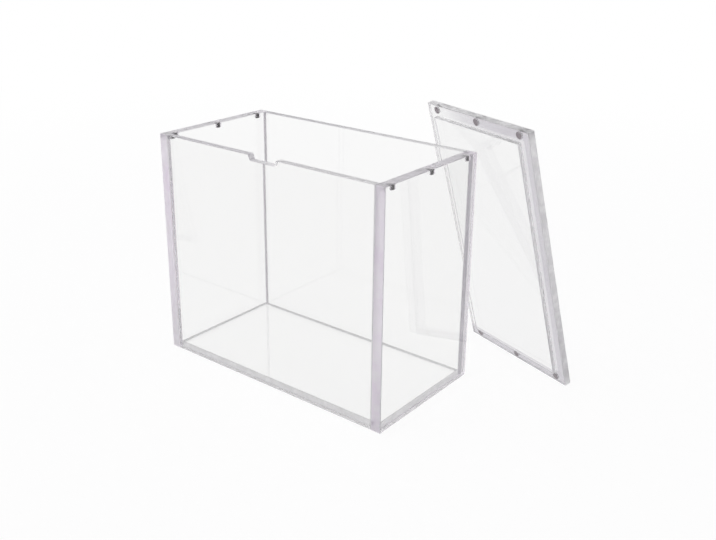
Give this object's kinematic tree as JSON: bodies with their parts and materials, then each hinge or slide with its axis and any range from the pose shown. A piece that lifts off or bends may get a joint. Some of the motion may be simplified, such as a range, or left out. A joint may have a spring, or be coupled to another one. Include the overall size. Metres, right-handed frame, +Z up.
{
  "type": "booster box display case",
  "caption": "Clear acrylic case for a sealed booster box, open at the top, with a stepped magnetic lid leaning against it and a thumb notch in its front panel.",
  "frame": {"origin": "centre of the case's flat underside, without the lid that leans behind it", "axes": "+X along the case to the right as seen from the notched front, +Y to the rear, +Z up out of its open top"},
  "size_m": [0.2067, 0.1337, 0.1499],
  "materials": {
    "clear_acrylic": "polished clear acrylic sheet",
    "nickel": "nickel-plated disc magnet"
  },
  "bodies": {
    "case": {"bottom_panel": "clear_acrylic", "front_panel": "clear_acrylic", "rear_panel": "clear_acrylic", "left_end_panel": "clear_acrylic", "right_end_panel": "clear_acrylic", "case_magnet_left_front": "nickel", "case_magnet_left_middle": "nickel", "case_magnet_left_rear": "nickel", "case_magnet_right_front": "nickel", "case_magnet_right_middle": "nickel", "case_magnet_right_rear": "nickel"},
    "lid": {"lid_outer_plate": "clear_acrylic", "lid_inner_plate": "clear_acrylic", "lid_magnet_left_front": "nickel", "lid_magnet_left_middle": "nickel", "lid_magnet_left_rear": "nickel", "lid_magnet_right_front": "nickel", "lid_magnet_right_middle": "nickel", "lid_magnet_right_rear": "nickel"}
  },
  "joints": [
    {"name": "lid_lift", "type": "slide", "parent": "case", "child": "lid", "axis": [0, 0, 1], "range_m": [0, 0.16]}
  ]
}
